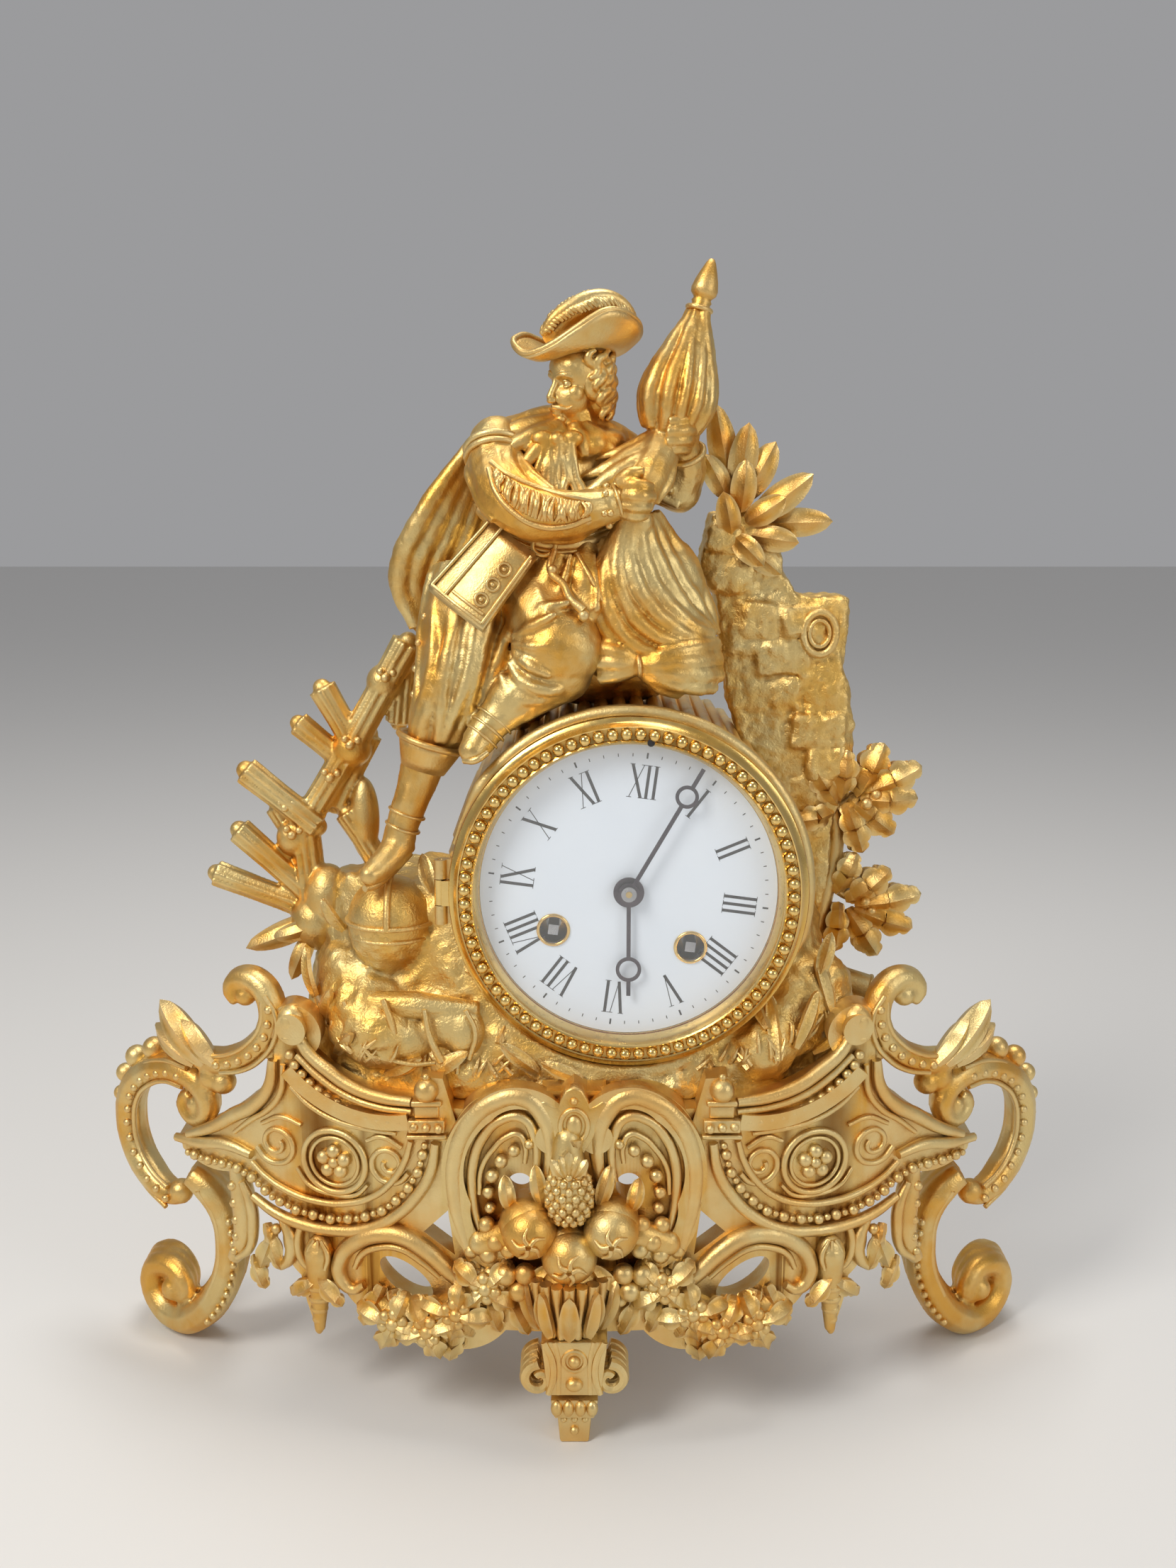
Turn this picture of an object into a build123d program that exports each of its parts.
# Figural mantel clock: gilt castings on a bowed scroll base, with a drum movement behind the dial.
# Millimetres. X is to the right, Y to the back and Z up, seen from the front; the table is Z = 0.
import os
from math import acos, asin, atan2, cos, hypot, pi, radians, sin, sqrt, tan

from build123d import *

# Driving sizes of the case
bow_radius = 230.0          # front of the base seen from above is an arc
bow_front = -52.0           # where that arc stands furthest forward
wall = 9.0                  # thickness of the base plate
deck_top = 108.0            # flat deck that the mound stands on
deck_thick = 4.0
base_bottom = 34.0          # lowest edge of the base plate, top of the front foot

drum_x = 17.0               # axis of the movement drum
drum_z = 175.0
drum_radius = 56.0
drum_wall = 2.5
drum_front = -36.0
drum_back = 50.0

dial_radius = 46.0          # visible enamel
dial_tilt = radians(7.5)    # the dial sits a little clockwise

stud_x = 6.0                # stud that holds the figure on the drum
stud_y = -4.0
stud_radius = 2.0

ball_front = (-59, -20, 158)    # round helmet under the boot
ball_back = (-58, -8, 156)

# Fits and clearances
cast_gap = 0.15             # between castings that sit against each other
run_fit = 0.05              # radial, between a turning piece and its hole
slide_gap = 0.30            # between pieces on different moving bodies

bow_y = bow_front + bow_radius
drum_top = drum_z + drum_radius
drum_bore = drum_radius - drum_wall

os.makedirs("parts", exist_ok=True)


# Helpers shared by the castings
def bow_at(x, behind=0.0):
    """Y of the bowed front at a given x, a given distance behind it."""
    return bow_y - sqrt((bow_radius - behind) ** 2 - x ** 2)


def bow_shell(front, back):
    """Adds an upright curved plate between two distances behind the bowed front."""
    with BuildSketch(Plane.XY) as plan:
        with Locations((0, bow_y)):
            Circle(bow_radius - front)
            Circle(bow_radius - back, mode=Mode.SUBTRACT)
        Rectangle(400, 170, mode=Mode.INTERSECT)
    extrude(plan.sketch, amount=150)


def limb(start, start_r, end, end_r, mode=Mode.ADD):
    """Adds a round tapering length with a ball at each end."""
    line = Vector(*end) - Vector(*start)
    lean = asin((start_r - end_r) / line.length)
    across = Plane(origin=start, z_dir=line).x_dir
    side = Plane(origin=start, x_dir=across, z_dir=across.cross(line))
    low = (start_r * cos(lean), start_r * sin(lean))
    high = (end_r * cos(lean), line.length + end_r * sin(lean))
    low_mid = (lean - pi / 2) / 2
    high_mid = (lean + pi / 2) / 2
    with BuildSketch(side) as half:
        with BuildLine():
            ThreePointArc((0, -start_r), (start_r * cos(low_mid), start_r * sin(low_mid)), low)
            Line(low, high)
            ThreePointArc(high, (end_r * cos(high_mid), line.length + end_r * sin(high_mid)),
                          (0, line.length + end_r))
            Line((0, line.length + end_r), (0, -start_r))
        make_face()
    revolve(half.sketch, axis=Axis(start, line), mode=mode)


def drum_space(gap, mode=Mode.SUBTRACT):
    """The room that the movement drum takes, seen as a plain cylinder along Y."""
    with BuildSketch(Plane(origin=(drum_x, 100, drum_z), z_dir=(0, -1, 0), x_dir=(1, 0, 0))) as bore:
        Circle(drum_radius + gap)
    extrude(bore.sketch, amount=200, mode=mode)


def cap_mid(rim, rise):
    """Middle of the arc of a shallow dome, as its radius and its drop from the top."""
    ball = (rim ** 2 + rise ** 2) / (2 * rise)
    half = asin(rim / ball) / 2
    return ball * sin(half), ball * (1 - cos(half))


def leaf(base, tip, width, thick):
    """Adds one pointed leaf from its stem to its tip, standing across Y."""
    length = hypot(tip[0] - base[0], tip[2] - base[2])
    stand = Plane(origin=base, x_dir=(tip[0] - base[0], 0, tip[2] - base[2]), z_dir=(0, -1, 0))
    with BuildSketch(stand) as blade:
        with BuildLine():
            ThreePointArc((0, 0), (0.45 * length, width / 2), (length, 0))
            ThreePointArc((length, 0), (0.45 * length, -width / 2), (0, 0))
        make_face()
    extrude(blade.sketch, amount=thick / 2, both=True)


# Base plate: bowed casting with scrolls, ledge, prow ends, piercings and a fruit group
with BuildPart() as base_relief:
    bow_shell(-3.5, 3.0)
    with BuildSketch(Plane.XZ):
        for side in (1, -1):
            with BuildLine():
                ThreePointArc((3 * side, 103), (15 * side, 114), (28 * side, 109))
                ThreePointArc((28 * side, 109), (37 * side, 96), (36 * side, 78))
                ThreePointArc((36 * side, 78), (33 * side, 66), (26 * side, 60))
            trace(line_width=7)
            with Locations((7 * side, 101), (26 * side, 62)):
                Circle(5)
            with BuildLine():
                ThreePointArc((52 * side, 104), (74 * side, 105), (92 * side, 116))
            trace(line_width=5)
            with Locations((90 * side, 130)):
                Circle(5)
        with Locations((0, 111)):
            Ellipse(4.5, 6)
    extrude(amount=100, both=True, mode=Mode.INTERSECT)

with BuildPart() as base_casting:
    bow_shell(0, wall)
    with BuildSketch(Plane.XZ):
        with BuildLine():
            Polyline((0, 118.5), (4, 115.5), (10, 115.5), (9, 112))
            ThreePointArc((9, 112), (24, 115), (37, 104))
            Polyline((37, 104), (41, 118), (48, 118))
            ThreePointArc((48, 118), (48, 112), (52, 110))
            ThreePointArc((52, 110), (68, 112), (84, 121))
            ThreePointArc((84, 121), (90, 137), (97, 124))
            ThreePointArc((97, 124), (98, 112), (106, 101))
            ThreePointArc((106, 101), (118, 91), (134, 83))
            Line((134, 83), (133, 78))
            ThreePointArc((133, 78), (122, 74), (110, 77))
            ThreePointArc((110, 77), (101, 70), (92, 66))
            ThreePointArc((92, 66), (96, 54), (90, 44))
            ThreePointArc((90, 44), (88, 34), (84, 24))
            ThreePointArc((84, 24), (81, 36), (77, 46))
            ThreePointArc((77, 46), (73, 39), (66, 34))
            ThreePointArc((66, 34), (54, 27), (44, 27))
            ThreePointArc((44, 27), (32, 27), (22, base_bottom))
            Line((22, base_bottom), (0, base_bottom))
            mirror(about=Plane.YZ)
        make_face()
        for side in (1, -1):
            with Locations(Location((54 * side, 49, 0), (0, 0, 35 * side))):
                Ellipse(10, 5, mode=Mode.SUBTRACT)
            with BuildLine():
                Polyline((40 * side, 74), (48 * side, 66), (38 * side, 59), close=True)
            make_face(mode=Mode.SUBTRACT)
            with Locations((17 * side, 84)):
                Circle(4, mode=Mode.SUBTRACT)
    extrude(amount=100, both=True, mode=Mode.INTERSECT)
    add(base_relief.part)
    with BuildSketch(Plane.XY.offset(deck_top - deck_thick)):
        with Locations((0, bow_y)):
            Circle(bow_radius - 1)
        with Locations((0, -9)):
            Rectangle(184, 82, mode=Mode.INTERSECT)
        with Locations((24, 20)):
            Rectangle(36, 30, mode=Mode.SUBTRACT)
    extrude(amount=deck_thick)
    # fruit group in front: three apples, a cone and the cup that carries them
    for fruit_x, fruit_z in ((-15, 73), (12, 73), (-2, 65)):
        limb((fruit_x, bow_front - 3.5, fruit_z), 8.5, (fruit_x, bow_front + 3, fruit_z), 8)
    limb((-2, bow_front - 4, 82), 7.5, (-2, bow_front - 3, 101), 4)
    limb((-1.5, bow_front, base_bottom + 8.3), 8, (-1.5, bow_front, base_bottom + 16), 11.5)
    # garland of flowers and leaves, grapes and a hanging bud on each side
    for side in (1, -1):
        garland = ((18, 52, 4.5), (28, 52, 5), (36, 43, 5), (44, 36.5, 6), (54, 35, 6), (63, 39, 5))
        for (start_x, start_z, start_r), (end_x, end_z, end_r) in zip(garland, garland[1:]):
            limb((side * start_x, bow_at(start_x) - 0.5, start_z), start_r - 0.7,
                 (side * end_x, bow_at(end_x) - 0.5, end_z), end_r)
        limb((side * 21, bow_at(21) - 3, 69), 4.5, (side * 29, bow_at(29) - 2, 65), 4.5)
        limb((side * 83, bow_at(83) - 1, 54), 5, (side * 84, bow_at(84), 27), 1.8)
    for bolt_x in (-70, 70):
        with Locations((bolt_x, -6, deck_top)):
            Cylinder(2.3, 30, mode=Mode.SUBTRACT)

foot_set = 6.0              # scrolled feet stand this far behind the bowed front
foot_depth = 20.0
foot_x = 141.0              # where each scrolled foot rests

# Side scrolls: an S above and a handle-like C below, soldered to the end of the base plate
with BuildPart() as base_right_scroll:
    bow_shell(1, wall - 1)
    with BuildSketch(Plane.XZ):
        with BuildLine():
            ThreePointArc((111, 137), (104, 142), (98, 135))
            ThreePointArc((98, 135), (100, 123), (108, 115))
            ThreePointArc((108, 115), (119, 110), (132, 112))
        trace(line_width=7)
        with BuildLine():
            ThreePointArc((116, 112), (124, 121), (138, 125))
            ThreePointArc((138, 125), (135, 114), (130, 110))
            Line((130, 110), (116, 112))
        make_face()
        with BuildLine():
            ThreePointArc((124, 103), (139, 102), (151, 89))
            ThreePointArc((151, 89), (158, 74), (152, 62))
            ThreePointArc((152, 62), (144, 56), (131, 58))
        trace(line_width=11)
        with Locations((108, 136)):
            Circle(4.5)
        with Locations((128, 95)):
            Circle(8)
        with Locations((131, 61)):
            Circle(6)
        with Locations((124, 107)):
            Rectangle(10, 10)
    extrude(amount=100, both=True, mode=Mode.INTERSECT)
    add(base_casting.part, mode=Mode.SUBTRACT)

with BuildPart() as right_foot:
    bow_shell(foot_set, foot_set + foot_depth)
    with BuildSketch(Plane.XZ):
        with BuildLine():
            ThreePointArc((132, 69), (122.5, 60), (119, 45))
            ThreePointArc((119, 45), (122, 26), (132, 11.5))
            ThreePointArc((132, 11.5), (141, 6), (150.5, 10))
            ThreePointArc((150.5, 10), (153, 18), (147, 24))
        trace(line_width=10.6)
        with BuildLine():
            ThreePointArc((147, 24), (139.5, 22), (139.5, 15.5))
        trace(line_width=6)
        with Locations((143.5, 17)):
            Circle(4.4)
        with Locations((foot_x, 1.5)):
            Rectangle(16, 3)
        with Locations((134, 70)):
            Circle(5.5)
        with Locations((140, 40)):
            Rectangle(120, 80, mode=Mode.INTERSECT)
    extrude(amount=100, both=True, mode=Mode.INTERSECT)
    add(base_casting.part, mode=Mode.SUBTRACT)
    add(base_right_scroll.part, mode=Mode.SUBTRACT)

with BuildPart() as base_left_scroll:
    add(base_right_scroll.part)
    mirror(about=Plane.YZ, mode=Mode.REPLACE)
with BuildPart() as left_foot:
    add(right_foot.part)
    mirror(about=Plane.YZ, mode=Mode.REPLACE)

foot_front = bow_front - 9
foot_back = bow_front + wall
with BuildPart() as front_foot:
    with BuildSketch(Plane.XZ.offset(-foot_back)):
        with Locations((0, 26)):
            Rectangle(24, 16)
        with Locations((-12, 25), (12, 25)):
            Circle(5)
        with Locations((0, 12.5)):
            Rectangle(15, 13)
        with Locations((0, 4)):
            Rectangle(10, 8)
    extrude(amount=foot_back - foot_front)

flutes = 35                 # hollows between the drum's gadroons

# Movement drum: the turned sleeve that carries dial, movement and rear cover
with BuildPart() as movement_drum:
    with BuildSketch(Plane(origin=(drum_x, drum_back, drum_z), z_dir=(0, -1, 0), x_dir=(1, 0, 0))):
        Circle(drum_radius)
        Circle(drum_bore, mode=Mode.SUBTRACT)
    extrude(amount=drum_back - drum_front)
    with Locations((drum_x + 7, 22, drum_z - drum_radius)):
        Box(22, 14, 16, mode=Mode.SUBTRACT)
    with Locations((stud_x, stud_y, drum_top)):
        Cylinder(stud_radius + 0.2, 20, mode=Mode.SUBTRACT)
    # flutes between the gadroons round the upper part
    for flute in range(flutes):
        turn = radians(-12 + 204 * (flute + 0.5) / flutes)
        flute_x, flute_z = (drum_radius + 1.2) * cos(turn), (drum_radius + 1.2) * sin(turn)
        flute_at = (drum_x + flute_x, drum_back, drum_z + flute_z)
        with BuildSketch(Plane(origin=flute_at, z_dir=(0, -1, 0), x_dir=(1, 0, 0))):
            Circle(2.4)
    extrude(amount=drum_back - drum_front - 5, mode=Mode.SUBTRACT)
    # two lugs for the bezel's hinge
    for low in (4.3, -10.3):
        with BuildSketch(Plane.XY.offset(drum_z + low)):
            with Locations((drum_x - drum_radius - 2.6, drum_front)):
                Circle(2.0)
            with Locations((drum_x - drum_radius - 0.6, drum_front + 1.2)):
                Rectangle(4.0, 2.4)
        extrude(amount=6)
    with Locations((drum_x - drum_radius - 2.6, drum_front, drum_z)):
        Cylinder(0.9, 40, mode=Mode.SUBTRACT)

# Mound: rocky slush casting, open behind, that cradles the drum
with BuildPart() as mound_casting:
    for inset, mode in ((0, Mode.ADD), (5, Mode.SUBTRACT)):
        with BuildSketch(Plane.XY.offset(deck_top - inset)):
            with Locations((0, -8)):
                Ellipse(94 - inset, 36 - inset)
        with BuildSketch(Plane.XY.offset(138)):
            with Locations((-1, -5)):
                Ellipse(87 - inset, 32 - inset)
        with BuildSketch(Plane.XY.offset(174 - inset)):
            with Locations((0, -3)):
                Ellipse(78 - inset, 26 - inset)
        loft(mode=mode)
    with Locations((24, 30, 130)):
        Box(116, 36, 90, mode=Mode.SUBTRACT)
    limb(ball_front, 14, ball_back, 15)
    limb((-72, -16, 140), 14, (-62, -30, 128), 13)
    limb((60, -28, 122), 12, (78, -14, 136), 14)
    drum_space(cast_gap)
    for bolt_x in (-70, 70):
        with Locations((bolt_x, -6, deck_top + 8)):
            Cylinder(6, 16)
        with Locations((bolt_x, -17, deck_top + 5)):
            Box(5, 22, 10)
        with Locations((bolt_x, -6, deck_top + 6)):
            Cylinder(2 + run_fit, 12, mode=Mode.SUBTRACT)
    with Locations((0, 0, deck_top - 30)):
        Box(300, 200, 60, mode=Mode.SUBTRACT)
    add(base_casting.part, mode=Mode.SUBTRACT)

with BuildPart() as case_bolts:
    for bolt_x in (-70, 70):
        with Locations((bolt_x, -6, deck_top + 2)):
            Cylinder(2, 18)
        with Locations((bolt_x, -6, deck_top - deck_thick - 1.6)):
            Cylinder(4, 3.2)


# Figure: places are taken from the top of the drum, which the figure sits on
def seat(dx, y, dz):
    """A point given by its offset from the drum's top line."""
    return (drum_x + dx, y, drum_top + dz)


# Furled flag on its staff, with the rope binding low down
staff_foot = seat(9, -11, 62)
staff_head = seat(22, -8, 122)
staff_line = Vector(*staff_head) - Vector(*staff_foot)
staff_across = Plane(origin=staff_foot, z_dir=staff_line).x_dir
with BuildPart() as furled_flag:
    with BuildSketch(Plane(origin=staff_foot, x_dir=staff_across, z_dir=staff_across.cross(staff_line))):
        with BuildLine():
            Polyline((0, 0), (3.5, 0), (4.5, 10), (7.0, 17))
            ThreePointArc((7.0, 17), (6.0, 20), (8.5, 23))
            ThreePointArc((8.5, 23), (12.0, 38), (5.0, 55))
            Polyline((5.0, 55), (2.5, staff_line.length), (0, staff_line.length), (0, 0))
        make_face()
    revolve(axis=Axis(staff_foot, staff_line))
    limb(seat(11, -13, 81), 5.5, seat(4, -24, 66), 5)

with BuildPart() as flag_finial:
    with BuildSketch(Plane(origin=staff_head, x_dir=staff_across, z_dir=staff_across.cross(staff_line))):
        with BuildLine():
            Polyline((0, 0), (2.2, 0), (3.2, 2), (1.8, 4), (3.2, 8), (2.2, 12), (0, 16), (0, 0))
        make_face()
    revolve(axis=Axis(staff_head, staff_line))

# Body with both legs, cast as one shell: breeches, boots, coat skirt and the lap
with BuildPart() as figure_body:
    limb(seat(-26, -9, 74), 14.5, seat(-27, -9, 57), 13.5)
    limb(seat(-41, -10, 80), 8.5, seat(-7, -5, 80), 8.5)
    limb(seat(-20, -9, 83), 6.6, seat(-18, -11, 91), 6.2)
    limb(seat(-42, -8, 43), 14, seat(-20, -8, 41), 13.5)
    limb(seat(-49, -10, 41), 13, seat(-56, -18.5, 17), 12.5)
    limb(seat(-56, -18.5, 17), 11.8, seat(-61, -21, -8), 8.5)
    limb(seat(-62, -21, -9), 8, seat(-72, -22.5, -40), 5.4)
    limb(seat(-62.5, -21.2, -12), 10, seat(-64.2, -21.4, -18), 8)
    limb(seat(-72, -22, -43), 5.2, seat(-80, -31.5, -51), 4)
    limb(seat(-29, -12, 37), 13, seat(-18, -29, 21), 12)
    limb(seat(-21, -28, 16), 10.5, seat(-33.5, -30, 5.5), 7.4)
    limb(seat(-33, -30, 6), 6, seat(-45.5, -35, -9), 4.8)
    limb(seat(-41, -6, 27), 12, seat(-29, -6, 27), 12)
    limb(seat(-6, -6, 27), 10, seat(9, -6, 27), 10)
    limb(seat(-27, -5, 16), 11, seat(6, -5, 16), 11)
    limb(seat(-24, 8, 12), 14, seat(4, 8, 12), 12)
    # square flap of the coat over the near thigh
    flap_top = Vector(-26, -22, 289.5)
    flap_down = Vector(-44.5, -27, 269.5) - flap_top
    flap_across = Vector(-11.5, -29, 279) - flap_top
    flap_plane = Plane(origin=flap_top, x_dir=flap_down, z_dir=flap_down.cross(flap_across))
    with BuildSketch(flap_plane) as flap:
        with BuildLine():
            Polyline((0, 0), (28, 0), (28, 19), (0, 19), close=True)
        make_face()
    extrude(flap.sketch, amount=1.2)
    extrude(flap.sketch, amount=-9)
    drum_space(cast_gap)
    with BuildSketch(Plane.XY.offset(drum_top - 6)):
        with Locations((stud_x, stud_y)):
            Circle(stud_radius + run_fit)
    extrude(amount=22, mode=Mode.SUBTRACT)
    limb(ball_front, 14 + cast_gap, ball_back, 15 + cast_gap, mode=Mode.SUBTRACT)

with BuildPart() as figure_head:
    limb(seat(-15, -6, 95), 8.2, seat(-16, -5, 102), 10)
    limb(seat(-11, -1, 98), 9.5, seat(-9, 0, 88), 7.5)
    limb(seat(-21, 0, 97), 6, seat(-22, -1, 88), 5)
    add(figure_body.part, mode=Mode.SUBTRACT)

# Broad hat with its brim turned up on one side and a plume laid over the crown
with BuildPart() as figure_hat:
    hat_plane = Plane(origin=seat(-15, -4, 108), x_dir=(1, 0, -0.12), z_dir=(0.12, 0.15, 1))
    with BuildSketch(hat_plane):
        Ellipse(18, 15)
    extrude(amount=3)
    limb(seat(-15, -3, 110), 11, seat(-14, -2, 115), 9)
    limb(seat(-26, -4, 112), 5, seat(-10, -8, 120), 6)
    limb(seat(-10, -8, 120), 5.5, seat(0, 0, 116), 4)
    add(figure_head.part, mode=Mode.SUBTRACT)

# Arms: the near one crosses the chest to the staff, the far one steadies the flag
with BuildPart() as figure_right_arm:
    limb(seat(-41, -12, 81), 8.6, seat(-37, -25, 65), 8.9)
    limb(seat(-37, -25, 65), 8.4, seat(-28, -30.5, 60), 8.2)
    limb(seat(-28, -30.5, 60), 7.7, seat(-9, -29.5, 62), 6)
    limb(seat(-9, -29.5, 62), 5.6, seat(-2, -28.4, 64), 5)
    limb(seat(0, -28.5, 65), 5.8, seat(3, -28.5, 65.5), 6.2)
    add(figure_body.part, mode=Mode.SUBTRACT)
    add(furled_flag.part, mode=Mode.SUBTRACT)
with BuildPart() as figure_left_arm:
    limb(seat(-6, -4, 80), 8, seat(16, -1, 67), 7.6)
    limb(seat(16, -1, 67), 7.2, seat(17.5, -9.5, 82), 5)
    limb(seat(18, -10.5, 83), 5, seat(19, -11, 86), 4.5)
    add(figure_head.part, mode=Mode.SUBTRACT)
    add(figure_body.part, mode=Mode.SUBTRACT)
    add(furled_flag.part, mode=Mode.SUBTRACT)

# Cloak: long folds hanging behind on one side and a drape over the drum on the other
with BuildPart() as figure_cape:
    for fold in range(5):
        part = fold / 4
        limb(seat(-48 + 11 * part, -5 + 8 * part, 81 + 3 * part), 3,
             seat(-64 + 8 * part, -4 + 7 * part, 57 - 4 * part), 3.8)
        limb(seat(-64 + 8 * part, -4 + 7 * part, 57 - 4 * part), 3.3,
             seat(-73 + 22 * part, -3 + 7 * part, 33 - 14 * part), 4)
    for fold in range(6):
        part = fold / 5
        limb(seat(-41 + 37 * part, 3, 83), 4.6, seat(-46 + 48 * part, 10, 52), 5.6)
        limb(seat(-46 + 48 * part, 10, 52), 5.1, seat(-51 + 60 * part, 8, 18), 5.3)
    for fold_top, fold_mid, fold_end in ((seat(-3, -24, 57), seat(2, -28, 38), seat(7, -27, 21)),
                                         (seat(2, -22, 57), seat(9, -27, 38), seat(15, -26, 21)),
                                         (seat(7, -19, 56), seat(16, -23, 40), seat(22, -23.5, 22)),
                                         (seat(12, -16, 55), seat(22, -18, 42), seat(28, -18, 25))):
        limb(fold_top, 3.4, fold_mid, 4.4)
        limb(fold_mid, 3.9, fold_end, 4.2)
    limb(seat(6, -28.5, 16.5), 3.2, seat(18, -27, 18.5), 4)
    limb(seat(5, -28.4, 15), 3.5, seat(27, -23, 14.5), 4.1)
    limb(seat(6, -28.1, 13), 3.1, seat(25, -23, 9), 3.9)
    limb(seat(4, -28.2, 14), 3.3, seat(-6, -28, 14), 3.8)
    limb(seat(12, -14, 40), 10, seat(18, -14, 24), 10)
    limb(seat(12, -12, 38), 9, seat(1, 9, 44), 7)
    drum_space(cast_gap)
    add(figure_body.part, mode=Mode.SUBTRACT)
    add(figure_right_arm.part, mode=Mode.SUBTRACT)
    add(figure_left_arm.part, mode=Mode.SUBTRACT)
    add(figure_head.part, mode=Mode.SUBTRACT)
    add(furled_flag.part, mode=Mode.SUBTRACT)
    add(solids().sort_by(SortBy.VOLUME)[-1], mode=Mode.REPLACE)

# Stud and nut that pull the figure down on the drum
with BuildPart() as figure_stud_and_nut:
    with Locations((stud_x, stud_y, drum_top + 4)):
        Cylinder(stud_radius, 22)
    stud_seat = drum_z + sqrt(drum_bore ** 2 - (drum_x - stud_x + 3.6) ** 2)
    with BuildSketch(Plane.XY.offset(stud_seat - 3.1)):
        with Locations((stud_x, stud_y)):
            RegularPolygon(3.6, 6)
    extrude(amount=3)

# Rustic fence of split rails on the left of the mound
with BuildPart() as fence_casting:
    limb((-55, 3, 246), 4.5, (-104, 2, 172), 6)
    limb((-82, 3, 232), 4, (-66, 3, 206), 5)
    limb((-66, 3, 206), 5, (-66, 2, 160), 6)
    limb((-107, 2, 205), 4, (-78, 3, 176), 6)
    limb((-112, 0, 185), 4, (-80, 0, 158), 6)
    limb((-117, 0, 170), 4, (-78, -2, 154), 6)
    limb((-106, -4, 148), 3.5, (-78, -6, 154), 5)
    limb((-88, 1, 182), 5, (-89, -2, 148), 5.5)
    add(mound_casting.part, mode=Mode.SUBTRACT)
    add(figure_body.part, mode=Mode.SUBTRACT)
    add(figure_cape.part, mode=Mode.SUBTRACT)
    add(solids().sort_by(SortBy.VOLUME)[-1], mode=Mode.REPLACE)

# Ruined wall of stone blocks on the right, stepping up behind the drape
wall_front = 0.0
wall_back = 16.0
with BuildPart() as ruined_wall:
    with BuildSketch(Plane.XZ.offset(-wall_back)):
        with BuildLine():
            Polyline((48, 240), (46, 262), (40, 273), (44, 290), (58, 291), (66, 284), (67, 272), (72, 264),
                     (89, 263), (88, 240), (92, 222), (91, 206), (86, 190), (84, 160), (70, 150), close=True)
        make_face()
    extrude(amount=wall_back - wall_front)
    for stone in (((44, 266), (58, 266), (57, 278), (43, 277)), ((73, 244), (86, 243), (87, 261), (73, 262)),
                  ((76, 224), (90, 222), (87, 240), (73, 241)), ((50, 246), (70, 243), (70, 261), (52, 263)),
                  ((80, 206), (89, 206), (90, 220), (76, 221))):
        with BuildSketch(Plane.XZ.offset(-wall_front)):
            with BuildLine():
                Polyline(*stone, close=True)
            make_face()
        extrude(amount=1.6)
    drum_space(cast_gap)
    add(mound_casting.part, mode=Mode.SUBTRACT)
    add(figure_cape.part, mode=Mode.SUBTRACT)
    add(figure_body.part, mode=Mode.SUBTRACT)
    add(solids().sort_by(SortBy.VOLUME)[-1], mode=Mode.REPLACE)

# Leaf sprays let into the wall: laurel above, oak at the side and below
with BuildPart() as laurel_spray:
    limb((60, 4, 284), 2.2, (64, 5, 299), 1.6)
    for base_point, tip_point in (((60, 4, 290), (44, 4, 322)), ((61, 5, 291), (63, 5, 314)),
                                  ((61, 4, 290), (76, 4, 303)), ((60, 5, 286), (82, 5, 288)),
                                  ((59, 3, 286), (40, 3, 304)), ((61, 3, 284), (73, 3, 276))):
        leaf(base_point, tip_point, 9, 3.4)
    add(ruined_wall.part, mode=Mode.SUBTRACT)
    add(furled_flag.part, mode=Mode.SUBTRACT)
with BuildPart() as oak_sprays:
    limb((88, 4, 196), 2.4, (96, 4, 200), 2)
    for base_point, tip_point in (((92, 4, 198), (107, 3, 213)), ((92, 4, 198), (114, 4, 203)),
                                  ((92, 4, 197), (104, 5, 186)), ((91, 3, 197), (82, 2, 208)),
                                  ((90, 2, 196), (84, 1, 184))):
        leaf(base_point, tip_point, 11, 4)
    limb((86, 3, 178), 2.6, (85, 1, 156), 3.4)
    limb((85, 1, 157), 3.0, (89, -7, 139), 4.2)
    limb((84, -7, 141), 4.6, (99, -6, 132), 5.6)
    for base_point, tip_point in (((85, 2, 160), (104, 2, 170)), ((85, 2, 160), (116, 3, 162)),
                                  ((85, 1, 158), (102, 1, 147))):
        leaf(base_point, tip_point, 11, 4)
    drum_space(cast_gap)
    add(ruined_wall.part, mode=Mode.SUBTRACT)
    add(mound_casting.part, mode=Mode.SUBTRACT)
    add(solids().sort_by(SortBy.VOLUME)[-2:], mode=Mode.REPLACE)


# Movement: places in the plates are (right, up) from the centre, turned with the dial
def spot(at):
    """A place in the plates, turned clockwise with the dial."""
    right, up = at
    return (right * cos(dial_tilt) + up * sin(dial_tilt), up * cos(dial_tilt) - right * sin(dial_tilt))


def face_plane(y, at=(0, 0)):
    """Upright plane at a place in the plates, looking to the front and turned with the dial."""
    across, up = spot(at)
    return Plane(origin=(drum_x + across, y, drum_z + up), x_dir=(cos(dial_tilt), 0, -sin(dial_tilt)),
                 z_dir=(0, -1, 0))


def rod(at, y_back, y_front, radius, mode=Mode.ADD):
    """Adds a round length along Y at a place in the plates."""
    with BuildSketch(face_plane(y_back, at)) as end:
        Circle(radius)
    extrude(end.sketch, amount=y_back - y_front, mode=mode)


def heading(from_at, to_at):
    """Angle of the line between two places in the plates."""
    return atan2(to_at[1] - from_at[1], to_at[0] - from_at[0])


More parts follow.
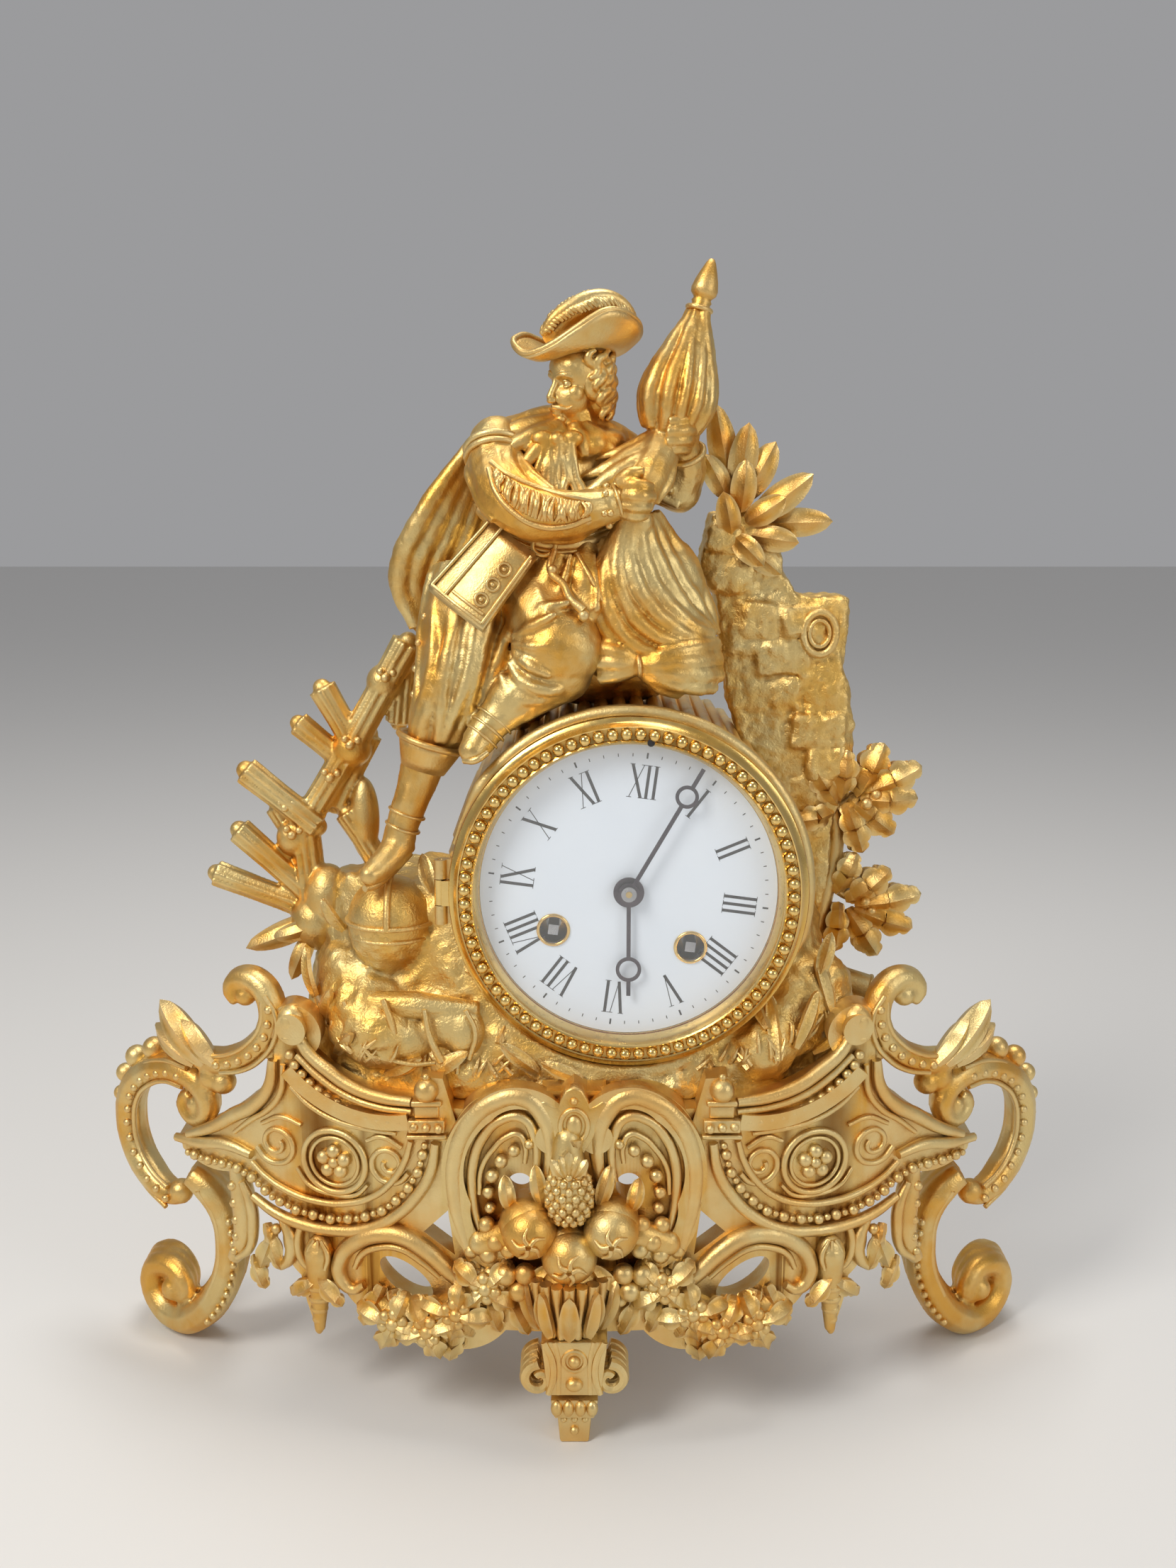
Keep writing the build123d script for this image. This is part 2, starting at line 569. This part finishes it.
def toothed(at, y_back, y_front, teeth, module, first, thin=0.38):
    """Adds a spur wheel; first is the angle of one tooth, thin its share of the pitch."""
    pitch_r = teeth * module / 2
    base_r = pitch_r * cos(radians(20))
    flank = tan(radians(20)) - radians(20)
    outline = []
    for tooth in range(teeth):
        middle = first + 2 * pi * tooth / teeth
        rise = []
        for radius in (pitch_r - 1.15 * module, pitch_r - 0.2 * module, pitch_r + 0.45 * module,
                       pitch_r + 0.85 * module):
            press = acos(min(1.0, base_r / radius))
            rise.append((radius, thin * pi / teeth + flank - (tan(press) - press)))
        outline += [(r * cos(middle - half), r * sin(middle - half)) for r, half in rise]
        outline += [(r * cos(middle + half), r * sin(middle + half)) for r, half in reversed(rise)]
    with BuildSketch(face_plane(y_back, at)) as wheel:
        with BuildLine():
            Polyline(*outline, close=True)
        make_face()
    extrude(wheel.sketch, amount=y_back - y_front)


# Levels of the movement along Y, from front to back
dial_front = drum_front + 0.8
plate_front = -24.0
plate_thick = 2.0
plate_back = 14.0
plate_radius = 42.0
front_inner = plate_front + plate_thick
back_outer = plate_back + plate_thick
pivot = 0.6
arbor = 1.0

# Places in the plates; centre distances come from tooth counts and modules
winding_radius = 26.8
winding_drop = radians(35.8)
centre_at = (0, 0)
time_at = (winding_radius * cos(winding_drop), -winding_radius * sin(winding_drop))
strike_at = (-time_at[0], time_at[1])
barrel_teeth, inter_pinion, barrel_module = 60, 10, 0.64
inter_teeth, centre_pinion, inter_module = 60, 10, 0.42
centre_teeth, third_pinion, centre_module = 60, 6, 0.42
third_teeth, escape_pinion, third_module = 60, 6, 0.38
barrel_reach = (barrel_teeth + inter_pinion) * barrel_module / 2
inter_reach = (inter_teeth + centre_pinion) * inter_module / 2
third_reach = (centre_teeth + third_pinion) * centre_module / 2
escape_reach = (third_teeth + escape_pinion) * third_module / 2
swing = acos((inter_reach ** 2 + winding_radius ** 2 - barrel_reach ** 2) / (2 * inter_reach * winding_radius))
inter_at = (inter_reach * cos(swing - winding_drop), inter_reach * sin(swing - winding_drop))
third_at = (third_reach * cos(radians(120)), third_reach * sin(radians(120)))
escape_at = (0, third_at[1] + sqrt(escape_reach ** 2 - third_at[0] ** 2))
pallet_at = (0, 36.0)
hang_at = (0, 48.5)
strike_wheel_at = (strike_at[0] - 8.0, strike_at[1] + sqrt(barrel_reach ** 2 - 64))
hammer_at = (-39.5, 0.0)
motion_module = 0.50
motion_at = (0, (12 + 36) * motion_module / 2)
hour_module = 2 * motion_at[1] / (10 + 40)
post_ats = ((30, 24), (-28, 27), (16, -36), (-16, -36))
pillar_ats = ((38.5, 8), (-24, 31), (24, 31), (0, -38.5))

hang_x = drum_x + spot(hang_at)[0]
hang_z = drum_z + spot(hang_at)[1]
hang_y = back_outer + 4.0

with BuildPart() as front_plate:
    rod(centre_at, front_inner, plate_front, plate_radius)
    for at in (third_at, escape_at, inter_at, pallet_at, strike_wheel_at, hammer_at):
        rod(at, front_inner, plate_front, pivot + run_fit, Mode.SUBTRACT)
    rod(centre_at, front_inner, plate_front, arbor + run_fit, Mode.SUBTRACT)
    for at in (time_at, strike_at):
        rod(at, front_inner, plate_front, 2.4 + run_fit, Mode.SUBTRACT)
    rod(motion_at, plate_front, plate_front - 6.0, 0.9)

with BuildPart() as back_plate:
    rod(centre_at, back_outer, plate_back, plate_radius)
    for at in (centre_at, third_at, escape_at, inter_at, strike_wheel_at):
        rod(at, back_outer, plate_back, pivot + run_fit, Mode.SUBTRACT)
    for at in (time_at, strike_at):
        rod(at, back_outer, plate_back, 2.4 + run_fit, Mode.SUBTRACT)
    for at in (pallet_at, hammer_at):
        rod(at, back_outer, plate_back, arbor + run_fit, Mode.SUBTRACT)

with BuildPart() as plate_pillars:
    for at in pillar_ats:
        rod(at, plate_back, front_inner, 2.2)

# Barrels, their springs and the arbors that the key turns
def barrel(at, wheel_back, first):
    """Adds a spring barrel: drum, two ends and the great wheel around it."""
    rod(at, 12.0, -12.0, 17.0)
    toothed(at, wheel_back, wheel_back - 2.0, barrel_teeth, barrel_module, first)
    rod(at, 10.5, -10.5, 15.6, Mode.SUBTRACT)
    rod(at, 12.0, -12.0, 3.0 + run_fit, Mode.SUBTRACT)


def mainspring(at):
    """Adds a coiled strip as half turns that grow outwards."""
    with BuildSketch(face_plane(10.4, at)) as coil:
        with BuildLine():
            reach = 5.0
            side = 1
            while reach < 13.6:
                further = reach + 1.1
                ThreePointArc((side * reach, 0), ((reach - further) * side / 2, side * (reach + further) / 2),
                              (-side * further, 0))
                reach = further
                side = -side
        trace(line_width=0.8)
    extrude(coil.sketch, amount=20.8)


def winding_arbor(at):
    """Adds a barrel arbor with its pivots and the square that the key fits."""
    rod(at, 12.6, -12.6, 3.0)
    rod(at, back_outer, -12.6, 2.4)
    rod(at, -12.6, plate_front - 2.0, 2.4)
    with BuildSketch(face_plane(plate_front - 2.0, at)) as square:
        Rectangle(3.2, 3.2)
    extrude(square.sketch, amount=9.0)


with BuildPart() as time_barrel:
    barrel(time_at, 11.5, heading(time_at, inter_at))
with BuildPart() as strike_barrel:
    barrel(strike_at, -9.5, heading(strike_at, strike_wheel_at))
with BuildPart() as time_mainspring:
    mainspring(time_at)
with BuildPart() as strike_mainspring:
    mainspring(strike_at)
with BuildPart() as time_winding_arbor:
    winding_arbor(time_at)
with BuildPart() as strike_winding_arbor:
    winding_arbor(strike_at)


# Going train
def staff(at, thick=arbor):
    """Adds a plain arbor between the plates with a pivot at each end."""
    rod(at, back_outer, plate_front, pivot)
    rod(at, plate_back - 0.2, front_inner + 0.2, thick)


with BuildPart() as intermediate_wheel:
    staff(inter_at)
    toothed(inter_at, 12.8, 8.2, inter_pinion, barrel_module, heading(inter_at, time_at) + pi / inter_pinion)
    toothed(inter_at, -19.0, -20.2, inter_teeth, inter_module, heading(inter_at, centre_at))
with BuildPart() as centre_wheel:
    staff(centre_at)
    rod(centre_at, front_inner, drum_front - 4.4, arbor)
    toothed(centre_at, -18.4, -20.8, centre_pinion, inter_module,
            heading(centre_at, inter_at) + pi / centre_pinion)
    toothed(centre_at, -15.4, -16.6, centre_teeth, centre_module, heading(centre_at, third_at))
with BuildPart() as third_wheel:
    staff(third_at, 0.7)
    toothed(third_at, -14.4, -17.6, third_pinion, centre_module,
            heading(third_at, centre_at) + pi / third_pinion)
    toothed(third_at, 5.2, 4.0, third_teeth, third_module, heading(third_at, escape_at))

escape_teeth = 50
escape_radius = 9.0
with BuildPart() as escape_wheel:
    staff(escape_at, 0.62)
    toothed(escape_at, 6.2, 3.0, escape_pinion, third_module,
            heading(escape_at, third_at) + pi / escape_pinion)
    with BuildSketch(face_plane(9.2, escape_at)):
        with BuildLine():
            teeth_line = []
            for tooth in range(escape_teeth):
                lead = 2 * pi * tooth / escape_teeth
                back_lead = lead + 1.1 * pi / escape_teeth
                teeth_line.append((escape_radius * cos(lead), escape_radius * sin(lead)))
                teeth_line.append(((escape_radius - 1.2) * cos(back_lead), (escape_radius - 1.2) * sin(back_lead)))
            Polyline(*teeth_line, close=True)
        make_face()
        Circle(6.4, mode=Mode.SUBTRACT)
        Rectangle(14, 1.4)
        Rectangle(1.4, 14)
        Circle(1.8)
    extrude(amount=1.2)

# Anchor with its pallets, its arbor and the crutch that drives the pendulum
crutch_z = drum_z + 13.0
pallet_x = drum_x + spot(pallet_at)[0]
pallet_z = drum_z + spot(pallet_at)[1]
with BuildPart() as pallet_anchor:
    rod(pallet_at, plate_back - 0.2, front_inner + 0.2, 0.9)
    rod(pallet_at, front_inner + 0.2, plate_front, pivot)
    rod(pallet_at, back_outer + 1.1, plate_back - 0.2, arbor)
    with BuildSketch(face_plane(9.4, pallet_at)):
        Circle(2.2)
        with BuildLine():
            Polyline((-0.8, 1.6), (0.8, 1.6), (8.0, -2.6), (8.4, -6.4), (7.2, -6.4), (6.6, -3.4), (0, 0),
                     (-6.6, -3.4), (-7.2, -6.4), (-8.4, -6.4), (-8.0, -2.6), close=True)
        make_face()
    extrude(amount=1.6)
    with BuildSketch(Plane.XZ.offset(-back_outer - 1.1)):
        with BuildLine():
            Polyline((pallet_x - 1.2, pallet_z + 1.5), (pallet_x + 1.2, pallet_z + 1.5), (hang_x + 3.0, crutch_z + 3),
                     (hang_x + 3.0, crutch_z - 1), (hang_x - 3.0, crutch_z - 1), (hang_x - 3.0, crutch_z + 3),
                     close=True)
        make_face()
    extrude(amount=0.8)
    for side in (1, -1):
        with Locations((hang_x + side * 2.2, back_outer + 3.2, crutch_z + 1)):
            Box(1.4, 5.6, 3)

# Suspension: cock on the back plate, strip spring and the front-adjusted regulator arbor
with BuildPart() as suspension_cock:
    with Locations((hang_x, hang_y, hang_z - 4)):
        Box(8, 8, 10)
    with Locations((hang_x, hang_y, hang_z - 6)):
        Box(1.4, 8.1, 8, mode=Mode.SUBTRACT)
    rod(hang_at, back_outer + 2.6, back_outer - 0.1, 0.9 + run_fit, Mode.SUBTRACT)
with BuildPart() as regulator_arbor:
    rod(hang_at, back_outer + 2.5, drum_front - 1.0, 0.9)

swing_z = hang_z - 6.0
bob_z = 90.0
bob_radius = 16.0
bob_half = 5.0
bob_mid, bob_drop = cap_mid(bob_radius, bob_half - 1.2)
with BuildPart() as suspension_spring:
    with Locations((hang_x, hang_y, swing_z - 2.5)):
        Box(0.25, 4, 12)
with BuildPart() as pendulum_rod:
    with Locations((hang_x, hang_y, swing_z - 9.5)):
        Box(3, 4.4, 4)
    with Locations((hang_x, hang_y, (swing_z - 11 + bob_z - 14) / 2)):
        Cylinder(1.0, swing_z - 11 - bob_z + 14)
    add(suspension_spring.part, mode=Mode.SUBTRACT)
with BuildPart() as pendulum_bob:
    with BuildSketch(Plane(origin=(hang_x, hang_y, bob_z), x_dir=(1, 0, 0), z_dir=(0, 0, 1))):
        with BuildLine():
            ThreePointArc((0, -bob_half), (bob_mid, bob_drop - bob_half), (bob_radius, -1.2))
            Line((bob_radius, -1.2), (bob_radius, 1.2))
            ThreePointArc((bob_radius, 1.2), (bob_mid, bob_half - bob_drop), (0, bob_half))
            Line((0, bob_half), (0, -bob_half))
        make_face()
    revolve(axis=Axis((hang_x, hang_y, bob_z), (0, 1, 0)))
    add(pendulum_rod.part, mode=Mode.SUBTRACT)

# Strike side: lifting wheel, hammer, bell and its stand
with BuildPart() as strike_wheel:
    staff(strike_wheel_at)
    toothed(strike_wheel_at, -8.4, -12.6, inter_pinion, barrel_module,
            heading(strike_wheel_at, strike_at) + pi / inter_pinion)
    rod(strike_wheel_at, -15.0, -16.2, 8.0)
    with BuildSketch(face_plane(-16.0, strike_wheel_at)):
        with PolarLocations(6.8, 10):
            Circle(0.5)
    extrude(amount=3.0)

bell_at = (0, -6)
bell_rim = back_outer + 11.5
bell_crown = back_outer + 27.5
bell_radius = 30.5
bell_wall = 1.8
outer_mid, outer_drop = cap_mid(bell_radius, bell_crown - bell_rim)
inner_mid, inner_drop = cap_mid(bell_radius - bell_wall, bell_crown - bell_wall - bell_rim)
hammer_head = 3.6
strike_reach = bell_radius + hammer_head + 0.8
hammer_head_at = (bell_at[0] + strike_reach * cos(radians(145)), bell_at[1] + strike_reach * sin(radians(145)))
with BuildPart() as strike_hammer:
    rod(hammer_at, back_outer + 18, front_inner + 0.2, 0.9)
    rod(hammer_at, front_inner + 0.2, plate_front, pivot)
    with BuildSketch(face_plane(back_outer + 16)):
        with BuildLine():
            Line(hammer_at, hammer_head_at)
        trace(line_width=2.4)
        with Locations(hammer_head_at):
            Circle(hammer_head)
        with Locations(hammer_at):
            Circle(2.0)
    extrude(amount=3.0)
    tail = heading(hammer_at, strike_wheel_at)
    with BuildSketch(face_plane(-16.6, hammer_at)):
        with BuildLine():
            Line((0, 0), (3.6 * cos(tail), 3.6 * sin(tail)))
        trace(line_width=1.6)
        Circle(1.6)
    extrude(amount=2.0)
with BuildPart() as bell:
    with BuildSketch(Plane(origin=(drum_x + spot(bell_at)[0], 0, drum_z + spot(bell_at)[1]),
                           x_dir=(1, 0, 0), z_dir=(0, 0, 1))):
        with BuildLine():
            Line((bell_radius - bell_wall, bell_rim), (bell_radius, bell_rim))
            ThreePointArc((bell_radius, bell_rim), (outer_mid, bell_crown - outer_drop), (0, bell_crown))
            Line((0, bell_crown), (0, bell_crown - bell_wall))
            ThreePointArc((0, bell_crown - bell_wall), (inner_mid, bell_crown - bell_wall - inner_drop),
                          (bell_radius - bell_wall, bell_rim))
        make_face()
    revolve(axis=Axis((drum_x + spot(bell_at)[0], 0, drum_z + spot(bell_at)[1]), (0, 1, 0)))
    rod(bell_at, bell_crown + 1, bell_crown - 8, 1.6, Mode.SUBTRACT)
with BuildPart() as bell_stand:
    rod(bell_at, bell_crown + 0.4, back_outer, 1.55)
    rod(bell_at, bell_crown - 3.0, back_outer, 2.6)
    rod(bell_at, bell_crown + 2.2, bell_crown + cast_gap, 2.8)

# Motion work behind the dial
with BuildPart() as cannon_pinion:
    toothed(centre_at, -24.5, -26.5, 12, motion_module, heading(centre_at, motion_at))
    rod(centre_at, -24.5, drum_front - 3.4, 1.7)
    rod(centre_at, -20.0, drum_front - 6.0, arbor + run_fit, Mode.SUBTRACT)
with BuildPart() as minute_wheel:
    toothed(motion_at, -25.0, -26.2, 36, motion_module, heading(motion_at, centre_at) + pi / 36)
    toothed(motion_at, -26.0, -29.6, 10, hour_module, heading(motion_at, centre_at))
    rod(motion_at, -24.0, -31.0, 0.9 + run_fit, Mode.SUBTRACT)
with BuildPart() as hour_wheel:
    toothed(centre_at, -27.8, -29.0, 40, hour_module, heading(centre_at, motion_at) + pi / 40)
    rod(centre_at, -27.8, drum_front - 1.7, 3.0)
    rod(centre_at, -27.0, drum_front - 3.0, 1.7 + slide_gap, Mode.SUBTRACT)

# Dial: brass plate with its raised rim, enamel disc and the posts to the front plate
plate_rear = drum_front + 4.0
with BuildPart() as dial_plate:
    rod(centre_at, plate_rear, plate_rear - 1.5, drum_bore - cast_gap)
    rod(centre_at, plate_rear - 1.5, drum_front, drum_bore - 1.5)
    rod(centre_at, plate_rear - 1.5, drum_front, dial_radius + 0.6, Mode.SUBTRACT)
    rod(centre_at, plate_rear, drum_front, 4.0, Mode.SUBTRACT)
    for at in (time_at, strike_at):
        rod(at, plate_rear, drum_front, 4.7, Mode.SUBTRACT)
    rod(hang_at, plate_rear, drum_front, 1.5, Mode.SUBTRACT)
with BuildPart() as enamel_dial:
    rod(centre_at, plate_rear - 1.5, dial_front, dial_radius + 0.5)
    rod(centre_at, plate_rear, dial_front - 1, 3.6, Mode.SUBTRACT)
    for at in (time_at, strike_at):
        rod(at, plate_rear, dial_front - 1, 4.7, Mode.SUBTRACT)
with BuildPart() as dial_posts:
    for at in post_ats:
        rod(at, plate_front, plate_rear, 2.0)


# Hands of blued steel with a ring near the tip
def hand(y_back, turn, ring_r, ring_reach, tip_reach, hub_r, bore_r):
    """Adds a flat pierced hand; turn is clockwise from straight up."""
    way = (sin(turn - dial_tilt), cos(turn - dial_tilt))
    with BuildSketch(face_plane(y_back)) as flat:
        with BuildLine():
            Line((0, 0), (way[0] * tip_reach, way[1] * tip_reach))
        trace(line_width=1.3)
        with Locations((way[0] * ring_reach, way[1] * ring_reach)):
            Circle(ring_r)
            Circle(ring_r - 1.1, mode=Mode.SUBTRACT)
        Circle(hub_r)
        Circle(bore_r, mode=Mode.SUBTRACT)
    extrude(flat.sketch, amount=0.6)


with BuildPart() as hour_hand:
    hand(drum_front - 1.0, radians(180), 4.0, 25.0, 33.6, 4.8, 3.0)
with BuildPart() as minute_hand:
    hand(drum_front - 2.6, radians(30), 3.6, 35.4, dial_radius - 0.6, 3.4, 1.7)
with BuildPart() as hand_collet:
    rod(centre_at, drum_front - 3.4, drum_front - 4.2, 2.4)
    rod(centre_at, drum_front - 3.0, drum_front - 5.0, arbor + run_fit, Mode.SUBTRACT)

# Front bezel with its convex glass, hinged at the left
bezel_back = drum_front - cast_gap
hinge_x = drum_x - drum_radius - 2.6
with BuildPart() as front_bezel:
    with BuildSketch(Plane(origin=(drum_x, 0, drum_z), x_dir=(1, 0, 0), z_dir=(0, 0, 1))):
        with BuildLine():
            Polyline((51.1, bezel_back), (drum_radius, bezel_back), (drum_radius, bezel_back - 3.5),
                     (54.6, bezel_back - 5.0))
            ThreePointArc((54.6, bezel_back - 5.0), (52.0, bezel_back - 9.0), (49.6, bezel_back - 6.6))
            Polyline((49.6, bezel_back - 6.6), (49.6, bezel_back - 5.4), (51.1, bezel_back - 5.4),
                     (51.1, bezel_back))
        make_face()
    revolve(axis=Axis((drum_x, 0, drum_z), (0, 1, 0)))
    with BuildSketch(Plane.XY.offset(drum_z - 4)):
        with Locations((hinge_x, drum_front)):
            Circle(2.0)
        with Locations((hinge_x + 2.6, drum_front - 1.6)):
            Rectangle(4.4, 2.4)
    extrude(amount=8)
    with Locations((hinge_x, drum_front, drum_z)):
        Cylinder(0.9 + run_fit, 40, mode=Mode.SUBTRACT)
glass_seat = bezel_back - 5.3
glass_radius = 49.2
glass_rise = 5.7
glass_mid, glass_drop = cap_mid(glass_radius, glass_rise)
with BuildPart() as front_glass:
    with BuildSketch(Plane(origin=(drum_x, 0, drum_z), x_dir=(1, 0, 0), z_dir=(0, 0, 1))):
        with BuildLine():
            Line((0, glass_seat - glass_rise + 1.5), (0, glass_seat - glass_rise))
            ThreePointArc((0, glass_seat - glass_rise), (glass_mid, glass_seat - glass_rise + glass_drop),
                          (glass_radius, glass_seat))
            Polyline((glass_radius, glass_seat), (51.0, glass_seat), (51.0, glass_seat + 1.5),
                     (glass_radius, glass_seat + 1.5))
            ThreePointArc((glass_radius, glass_seat + 1.5), (glass_mid, glass_seat - glass_rise + glass_drop + 1.5),
                          (0, glass_seat - glass_rise + 1.5))
        make_face()
    revolve(axis=Axis((drum_x, 0, drum_z), (0, 1, 0)))

# Rear ring, straps that draw it to the dial plate, and the hinged rear cover
rear_x = drum_x + drum_radius - 3.0
rear_y = drum_back + 2.4
with BuildPart() as rear_ring:
    rod(centre_at, drum_back, drum_back - 4.0, drum_bore - cast_gap)
    rod(centre_at, drum_back, drum_back - 4.0, 46.0, Mode.SUBTRACT)
    for low in (4.3, -9.3):
        with BuildSketch(Plane.XY.offset(drum_z + low)):
            with Locations((rear_x, rear_y)):
                Circle(2.0)
            with Locations((rear_x - 1.6, drum_back + 0.2)):
                Rectangle(2.4, 4.4)
        extrude(amount=5)
    with Locations((rear_x, rear_y, drum_z)):
        Cylinder(0.9, 40, mode=Mode.SUBTRACT)
with BuildPart() as rear_cover:
    rod(centre_at, drum_back + 2.2, drum_back + slide_gap, 49.0)
    rod(centre_at, drum_back + 7.0, drum_back + slide_gap, 40.0)
    rod(centre_at, drum_back + 5.4, drum_back + slide_gap, 38.4, Mode.SUBTRACT)
    rod((-34, 0), drum_back + 14, drum_back + 5.4, 3.0)
    with BuildSketch(Plane.XY.offset(drum_z - 4)):
        with Locations((rear_x, rear_y)):
            Circle(2.0)
        with Locations((rear_x - 4.0, drum_back + 1.4)):
            Rectangle(6.0, 1.6)
    extrude(amount=8)
    with Locations((rear_x, rear_y, drum_z)):
        Cylinder(0.9 + run_fit, 40, mode=Mode.SUBTRACT)
strap_ats = (spot((49.5, 0)), spot((-49.5, 0)))
with BuildPart() as movement_straps:
    for strap in strap_ats:
        with Locations((drum_x + strap[0], (plate_rear + drum_back - 4.0) / 2, drum_z + strap[1])):
            Box(1.6, drum_back - 4.0 - plate_rear, 7)
with BuildPart() as hinge_pins:
    with Locations((hinge_x, drum_front, drum_z)):
        Cylinder(0.9, 20)
    with Locations((rear_x, rear_y, drum_z)):
        Cylinder(0.9, 19)


# Each subcomponent is written to its own file
nodes = {
    "base_casting": base_casting, "base_left_scroll": base_left_scroll, "base_right_scroll": base_right_scroll,
    "left_foot": left_foot, "right_foot": right_foot, "front_foot": front_foot,
    "mound_casting": mound_casting, "case_bolts": case_bolts, "movement_drum": movement_drum,
    "figure_body": figure_body, "figure_head": figure_head, "figure_hat": figure_hat,
    "figure_right_arm": figure_right_arm, "figure_left_arm": figure_left_arm, "figure_cape": figure_cape,
    "furled_flag": furled_flag, "flag_finial": flag_finial, "figure_stud_and_nut": figure_stud_and_nut,
    "fence_casting": fence_casting, "ruined_wall": ruined_wall, "laurel_spray": laurel_spray,
    "oak_sprays": oak_sprays, "front_bezel": front_bezel, "front_glass": front_glass,
    "hinge_pins": hinge_pins, "dial_plate": dial_plate, "enamel_dial": enamel_dial, "dial_posts": dial_posts,
    "minute_hand": minute_hand, "hour_hand": hour_hand, "hand_collet": hand_collet,
    "cannon_pinion": cannon_pinion, "minute_wheel": minute_wheel, "hour_wheel": hour_wheel,
    "front_plate": front_plate, "back_plate": back_plate, "plate_pillars": plate_pillars,
    "time_barrel": time_barrel, "time_mainspring": time_mainspring, "time_winding_arbor": time_winding_arbor,
    "strike_barrel": strike_barrel, "strike_mainspring": strike_mainspring,
    "strike_winding_arbor": strike_winding_arbor, "intermediate_wheel": intermediate_wheel,
    "centre_wheel": centre_wheel, "third_wheel": third_wheel, "escape_wheel": escape_wheel,
    "pallet_anchor": pallet_anchor, "suspension_cock": suspension_cock, "regulator_arbor": regulator_arbor,
    "suspension_spring": suspension_spring, "pendulum_rod": pendulum_rod, "pendulum_bob": pendulum_bob,
    "strike_wheel": strike_wheel, "strike_hammer": strike_hammer, "bell": bell, "bell_stand": bell_stand,
    "rear_ring": rear_ring, "rear_cover": rear_cover, "movement_straps": movement_straps,
}
for name, piece in nodes.items():
    piece.part.label = name
    export_step(piece.part, "parts/" + name + ".step")
